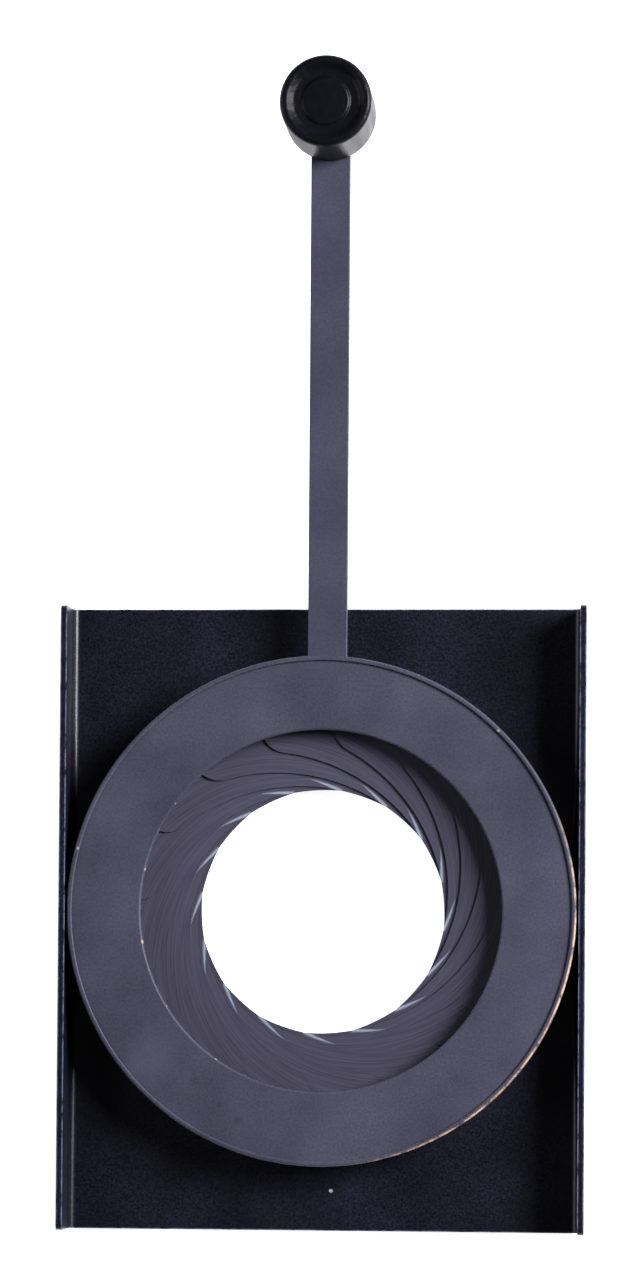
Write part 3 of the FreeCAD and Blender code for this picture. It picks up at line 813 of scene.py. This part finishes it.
# %% Leaf sizes
LEAF_THICK = 0.12 * MM
LEAF_SPAN_FROM_PIVOT = 41.8 * MM
PIN_R = 1.0 * MM
pivot_r = math.hypot(*pivots[0])
leaf_arc = 2 * math.degrees(math.asin((pivot_r + LEAF_SPAN_FROM_PIVOT) / (2 * pivot_r)))
end_angle = math.degrees(math.asin(LEAF_WIDTH / 2 / pivot_r))
leaf_low, leaf_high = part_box("leaf_01")
climb = (leaf_high.z - leaf_low.z - LEAF_THICK) / (leaf_arc + 2 * end_angle)
leaf_turn = leaf_joints[0]["range_deg"][1]
print("leaf arc", round(leaf_arc, 2), "degrees, climbs", round(climb * leaf_arc / MM, 2), "mm")

# %% Model one leaf
inner_r = pivot_r - LEAF_WIDTH / 2
ROWS = 4
row = [(inner_r + LEAF_WIDTH * i / ROWS, 0) for i in range(ROWS + 1)]
leaf = outline("leaf_blade", row, closed=False)
bpy.ops.mesh.select_all(action="SELECT")
bpy.ops.mesh.spin(steps=72, angle=-math.radians(leaf_arc), center=(0, 0, 0), axis=(0, 0, 1))
far = math.radians(leaf_arc)
for angle, way in ((0.0, -1), (far, 1)):
    pin = (pivot_r * math.cos(angle), pivot_r * math.sin(angle), 0)
    across = (math.cos(angle), math.sin(angle))

    def on_half_row(v):
        """True for the points of the strip's end row from its inner edge to the pin."""
        out = v.co.x * across[0] + v.co.y * across[1]
        aside = v.co.y * across[0] - v.co.x * across[1]
        return abs(aside) < HAIR and out < pivot_r + HAIR and out > 0

    picked = pick("VERT", on_half_row)
    bpy.ops.mesh.spin(steps=20, angle=way * math.pi, center=pin, axis=(0, 0, 1))
    print("end at", round(math.degrees(angle), 1), "degrees from", picked, "points")
bpy.ops.mesh.select_all(action="SELECT")
bpy.ops.mesh.remove_doubles(threshold=0.005 * MM)
bpy.ops.mesh.normals_make_consistent(inside=False)
bpy.ops.object.mode_set(mode="OBJECT")
print("flat leaf", [round(d / MM, 2) for d in leaf.dimensions], "mm")

# %% Lift, thicken and drill the leaf
def along_arc(point):
    """Degrees round the axis from the pivot, and the share of the width from the inner edge."""
    across = (math.hypot(point.x, point.y) - inner_r) / LEAF_WIDTH
    return math.degrees(math.atan2(point.y, point.x)), across


middle_z = (leaf_low.z + leaf_high.z) / 2
for vertex in leaf.data.vertices:
    degrees, across = along_arc(vertex.co)
    vertex.co.z = middle_z + climb * (degrees - leaf_arc / 2)
use(leaf, "SOLIDIFY", thickness=LEAF_THICK, offset=0.0)
drive = (pivot_r * math.cos(far), pivot_r * math.sin(far))
cut(leaf, drill("pin_holes", PIN_R, 0, cover_low.z, [(pivot_r, 0), drive]))
uv_map = leaf.data.uv_layers.active or leaf.data.uv_layers.new()
uv_map.name = "leaf"
for corner in leaf.data.loops:
    degrees, across = along_arc(leaf.data.vertices[corner.vertex_index].co)
    uv_map.data[corner.index].uv = (degrees / leaf_arc, across)
turn(leaf, leaf_turn, (pivot_r, 0, 0))
print("leaf", [round(d / MM, 2) for d in leaf.dimensions], "mm,", len(leaf.data.polygons), "faces")

# %% Copy it for all sixteen
for joint, (x, y) in zip(leaf_joints, pivots):
    number = joint["child"].split("_")[1]
    start_fresh()
    leaf.select_set(True)
    bpy.context.view_layer.objects.active = leaf
    bpy.ops.object.duplicate()
    blade = bpy.context.object
    blade.name = "leaf_blade_" + number
    turn(blade, math.degrees(math.atan2(y, x)))
    settle(blade, leaf_finish, joint["child"], "leaf_" + number)
bpy.data.objects.remove(leaf)

# %% [markdown]
# ## Finishes on the frame's own pieces
#
# Rivets, pins and the two hidden rings are already right in the frame, down to their
# countersinks and slots. They only need their metals.

# %% Metals on the frame's pieces
METALS = {
    "spacer": mild_steel,
    "actuator": mild_steel,
    "housing_rivet": zinc,
    "lever_rivet": zinc,
    "leaf_pins": brass,
}
for start, metal in METALS.items():
    same = [node for name, node in nodes.items() if name.startswith(start)]
    for node in same:
        node.data.materials.clear()
        node.data.materials.append(metal)
    print(start, len(same), "pieces in", metal.name)
